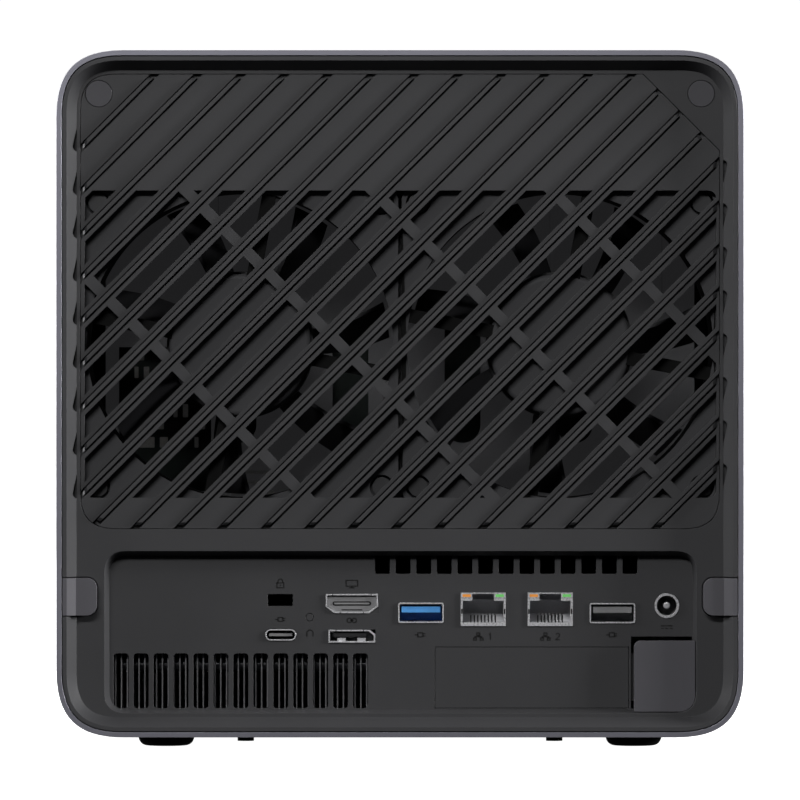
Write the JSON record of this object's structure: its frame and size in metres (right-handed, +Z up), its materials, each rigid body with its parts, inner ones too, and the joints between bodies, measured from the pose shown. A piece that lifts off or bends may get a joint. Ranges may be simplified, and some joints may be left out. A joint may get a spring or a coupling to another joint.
{
  "type": "mini pc",
  "caption": "Cube-shaped storage mini computer: aluminium sleeve, slatted fan grille and recessed port panel at the rear, drive trays at the front, sliding chassis.",
  "frame": {"origin": "centre of the case's footprint, on the surface that the feet stand on", "axes": "+X to the right when the front is faced, +Y out of the rear with the ports, +Z up"},
  "size_m": [0.199, 0.252, 0.2025],
  "materials": {
    "case_aluminium": "anodised satin grey",
    "frame_plastic": "fine textured moulding",
    "tab_plastic": "fine textured moulding, lighter",
    "fan_plastic": "moulded",
    "rubber": "smooth black",
    "dark_steel": "black powder coat",
    "zinc_steel": "zinc plated sheet",
    "socket_metal": "nickel plated",
    "screw_black": "black oxide",
    "socket_black": "moulded",
    "socket_blue": "moulded",
    "board_black": "solder mask",
    "memory_green": "solder mask",
    "dark_nickel": "black nickel plate",
    "fin_aluminium": "bare",
    "lamp_amber": "clear tinted",
    "lamp_green": "clear tinted",
    "lamp_white": "milky",
    "button_plastic": "polished"
  },
  "bodies": {
    "outer_case": {"outer_shell": "case_aluminium", "rubber_feet": "rubber", "bottom_screws": "screw_black"},
    "chassis": {"rear_bezel": "frame_plastic", "fan_grille": "frame_plastic", "screw_caps": "tab_plastic", "io_plate": "frame_plastic", "bracket_blank": "frame_plastic", "bracket_cap": "tab_plastic", "usb_a_shells": "socket_metal", "usb_tongues_fast": "socket_blue", "usb_tongue_plain": "socket_black", "usb_c_shells": "socket_metal", "usb_c_tongues": "socket_black", "video_socket_shell": "socket_metal", "video_socket_core": "socket_black", "link_socket_shell": "socket_metal", "link_socket_core": "socket_black", "lan_sockets": "socket_metal", "lan_cores": "socket_black", "lan_lamps_amber": "lamp_amber", "lan_lamps_green": "lamp_green", "dc_jack": "socket_metal", "dc_jack_pin": "socket_metal", "fan_frame_left": "fan_plastic", "fan_frame_right": "fan_plastic", "fan_pins": "fan_plastic", "fan_bracket": "dark_steel", "drive_cage": "dark_steel", "tray_guides": "socket_black", "backplane_board": "board_black", "backplane_sockets": "socket_black", "front_bezel": "frame_plastic", "status_lights": "lamp_white", "lower_frame": "zinc_steel", "motherboard": "board_black", "board_standoffs": "zinc_steel", "memory_modules": "memory_green", "ssd_modules": "memory_green", "cooler_base": "dark_nickel", "heat_pipes": "dark_nickel", "heatsink_fins": "fin_aluminium", "blower_housing": "socket_black"},
    "fan_rotor_left": {"fan_rotor_left": "fan_plastic"},
    "fan_rotor_right": {"fan_rotor_right": "fan_plastic"},
    "blower_rotor": {"blower_rotor": "socket_black"},
    "release_tab_left": {"release_tab_left": "tab_plastic"},
    "release_tab_right": {"release_tab_right": "tab_plastic"},
    "power_button": {"power_button": "button_plastic"},
    "reset_button": {"reset_button": "frame_plastic"},
    "tray_1": {"tray_1": "dark_steel"},
    "tray_lever_1": {"tray_lever_1": "tab_plastic"},
    "tray_2": {"tray_2": "dark_steel"},
    "tray_lever_2": {"tray_lever_2": "tab_plastic"},
    "tray_3": {"tray_3": "dark_steel"},
    "tray_lever_3": {"tray_lever_3": "tab_plastic"},
    "tray_4": {"tray_4": "dark_steel"},
    "tray_lever_4": {"tray_lever_4": "tab_plastic"},
    "tray_5": {"tray_5": "dark_steel"},
    "tray_lever_5": {"tray_lever_5": "tab_plastic"}
  },
  "joints": [
    {"name": "chassis_slide", "type": "slide", "parent": "outer_case", "child": "chassis", "axis": [0, 1, 0], "range_m": [0, 0.2]},
    {"name": "fan_spin_left", "type": "hinge", "parent": "chassis", "child": "fan_rotor_left", "pos_m": [0.0465, 0.1067, 0.1172], "axis": [0, 1, 0], "continuous": true},
    {"name": "fan_spin_right", "type": "hinge", "parent": "chassis", "child": "fan_rotor_right", "pos_m": [-0.0465, 0.1067, 0.1172], "axis": [0, 1, 0], "continuous": true},
    {"name": "blower_spin", "type": "hinge", "parent": "chassis", "child": "blower_rotor", "pos_m": [0.04, 0.067, 0.018], "axis": [0, 0, 1], "continuous": true},
    {"name": "release_press_left", "type": "slide", "parent": "chassis", "child": "release_tab_left", "axis": [0, -1, 0], "range_m": [0, 0.0015], "stiffness_N_per_m": 600},
    {"name": "release_press_right", "type": "slide", "parent": "chassis", "child": "release_tab_right", "axis": [0, -1, 0], "range_m": [0, 0.0015], "stiffness_N_per_m": 600},
    {"name": "power_press", "type": "slide", "parent": "chassis", "child": "power_button", "axis": [0, 1, 0], "range_m": [0, 0.0008], "stiffness_N_per_m": 800},
    {"name": "reset_press", "type": "slide", "parent": "chassis", "child": "reset_button", "axis": [0, -1, 0], "range_m": [0, 0.0005], "stiffness_N_per_m": 300},
    {"name": "tray_slide_1", "type": "slide", "parent": "chassis", "child": "tray_1", "axis": [0, -1, 0], "range_m": [0, 0.14]},
    {"name": "lever_swing_1", "type": "hinge", "parent": "tray_1", "child": "tray_lever_1", "pos_m": [-0.0668, -0.1204, 0.1695], "axis": [-1, 0, 0], "range_deg": [0, 60]},
    {"name": "tray_slide_2", "type": "slide", "parent": "chassis", "child": "tray_2", "axis": [0, -1, 0], "range_m": [0, 0.14]},
    {"name": "lever_swing_2", "type": "hinge", "parent": "tray_2", "child": "tray_lever_2", "pos_m": [-0.0334, -0.1204, 0.1695], "axis": [-1, 0, 0], "range_deg": [0, 60]},
    {"name": "tray_slide_3", "type": "slide", "parent": "chassis", "child": "tray_3", "axis": [0, -1, 0], "range_m": [0, 0.14]},
    {"name": "lever_swing_3", "type": "hinge", "parent": "tray_3", "child": "tray_lever_3", "pos_m": [0, -0.1204, 0.1695], "axis": [-1, 0, 0], "range_deg": [0, 60]},
    {"name": "tray_slide_4", "type": "slide", "parent": "chassis", "child": "tray_4", "axis": [0, -1, 0], "range_m": [0, 0.14]},
    {"name": "lever_swing_4", "type": "hinge", "parent": "tray_4", "child": "tray_lever_4", "pos_m": [0.0334, -0.1204, 0.1695], "axis": [-1, 0, 0], "range_deg": [0, 60]},
    {"name": "tray_slide_5", "type": "slide", "parent": "chassis", "child": "tray_5", "axis": [0, -1, 0], "range_m": [0, 0.14]},
    {"name": "lever_swing_5", "type": "hinge", "parent": "tray_5", "child": "tray_lever_5", "pos_m": [0.0668, -0.1204, 0.1695], "axis": [-1, 0, 0], "range_deg": [0, 60]}
  ]
}
